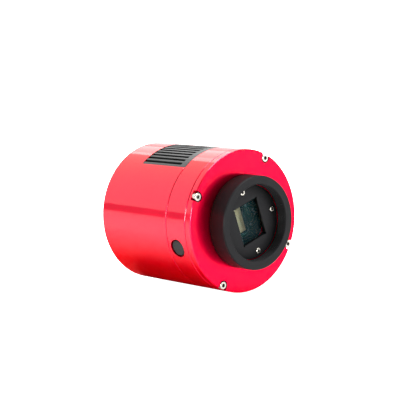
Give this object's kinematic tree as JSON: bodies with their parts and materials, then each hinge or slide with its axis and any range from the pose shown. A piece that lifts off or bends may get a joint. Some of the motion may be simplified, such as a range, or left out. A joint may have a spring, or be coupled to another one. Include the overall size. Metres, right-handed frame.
{
  "type": "cooled astronomy camera",
  "caption": "Cylindrical cooled camera for telescopes, with a threaded nose ring, sealed sensor chamber, side air vents with heat-sink fins, and a rear fan, power socket and data ports.",
  "frame": {"origin": "centre of the nose ring's front face, on the optical axis", "axes": "+Y back along the optical axis, +X to the right seen from the front, +Z towards the upper air vent"},
  "size_m": [0.078, 0.086, 0.078],
  "materials": {
    "red_anodised": "satin anodised",
    "black_anodised": "matt anodised",
    "grey_anodised": "matt anodised",
    "dark_metal": "turned, dark",
    "steel": "bright",
    "black_steel": "black oxide",
    "tinned_steel": "stamped",
    "brass": "satin",
    "copper": "satin",
    "rubber": "matt",
    "coated_glass": "anti-reflection coated",
    "polyimide": "film",
    "white_plastic": "matt",
    "silicon": "polished",
    "package_ceramic": "matt",
    "green_board": "solder mask",
    "chip_plastic": "matt",
    "white_ceramic": "matt",
    "bismuth_telluride": "matt",
    "grey_pad": "soft",
    "black_plastic": "satin",
    "magnet": "matt",
    "blue_plastic": "satin",
    "red_wire": "satin",
    "black_wire": "satin"
  },
  "bodies": {
    "camera_body": {"board_screws": "steel", "board_standoffs": "brass", "chamber_housing": "red_anodised", "clamp_screws": "steel", "cold_finger": "copper", "dc_jack": "black_plastic", "dc_pin": "tinned_steel", "desiccant_cartridge": "white_plastic", "fan_bearing": "brass", "fan_frame": "black_plastic", "fan_guard": "black_anodised", "fan_screws": "black_steel", "fan_stator": "copper", "flex_cable": "polyimide", "front_plate": "red_anodised", "front_plate_screws": "steel", "front_seal": "rubber", "heat_sink": "grey_anodised", "housing_screws": "steel", "port_board": "green_board", "port_board_parts": "chip_plastic", "port_standoffs": "brass", "rear_cover": "black_anodised", "rear_seal": "rubber", "rear_shell": "red_anodised", "sensor_board": "green_board", "sensor_board_parts": "chip_plastic", "sensor_cover_glass": "coated_glass", "sensor_die": "silicon", "sensor_package": "package_ceramic", "tec_cold_plate": "white_ceramic", "tec_hot_plate": "white_ceramic", "tec_lead_black": "black_wire", "tec_lead_red": "red_wire", "tec_pellets": "bismuth_telluride", "thermal_pad": "grey_pad", "tie_bolts": "black_steel", "usb2_insert_left": "black_plastic", "usb2_insert_right": "black_plastic", "usb2_shell_left": "tinned_steel", "usb2_shell_right": "tinned_steel", "usb3_insert": "blue_plastic", "usb3_shell": "tinned_steel", "window_clamp": "black_anodised", "window_glass": "coated_glass", "window_heater": "polyimide", "window_seal": "rubber"},
    "fan_rotor": {"fan_rotor": "black_plastic", "fan_magnet": "magnet", "fan_shaft": "steel"},
    "nose_ring": {"nose_ring": "black_anodised"},
    "desiccant_plug": {"desiccant_plug": "dark_metal", "plug_seal": "rubber"}
  },
  "joints": [
    {"name": "fan_spin", "type": "hinge", "parent": "camera_body", "child": "fan_rotor", "pos_m": [0, 0.078, 0.005], "axis": [0, 1, 0], "continuous": true},
    {"name": "nose_ring_off", "type": "slide", "parent": "camera_body", "child": "nose_ring", "axis": [0, -1, 0], "range_m": [0, 0.016]},
    {"name": "desiccant_plug_out", "type": "slide", "parent": "camera_body", "child": "desiccant_plug", "axis": [-1, 0, 0], "range_m": [0, 0.012]}
  ]
}
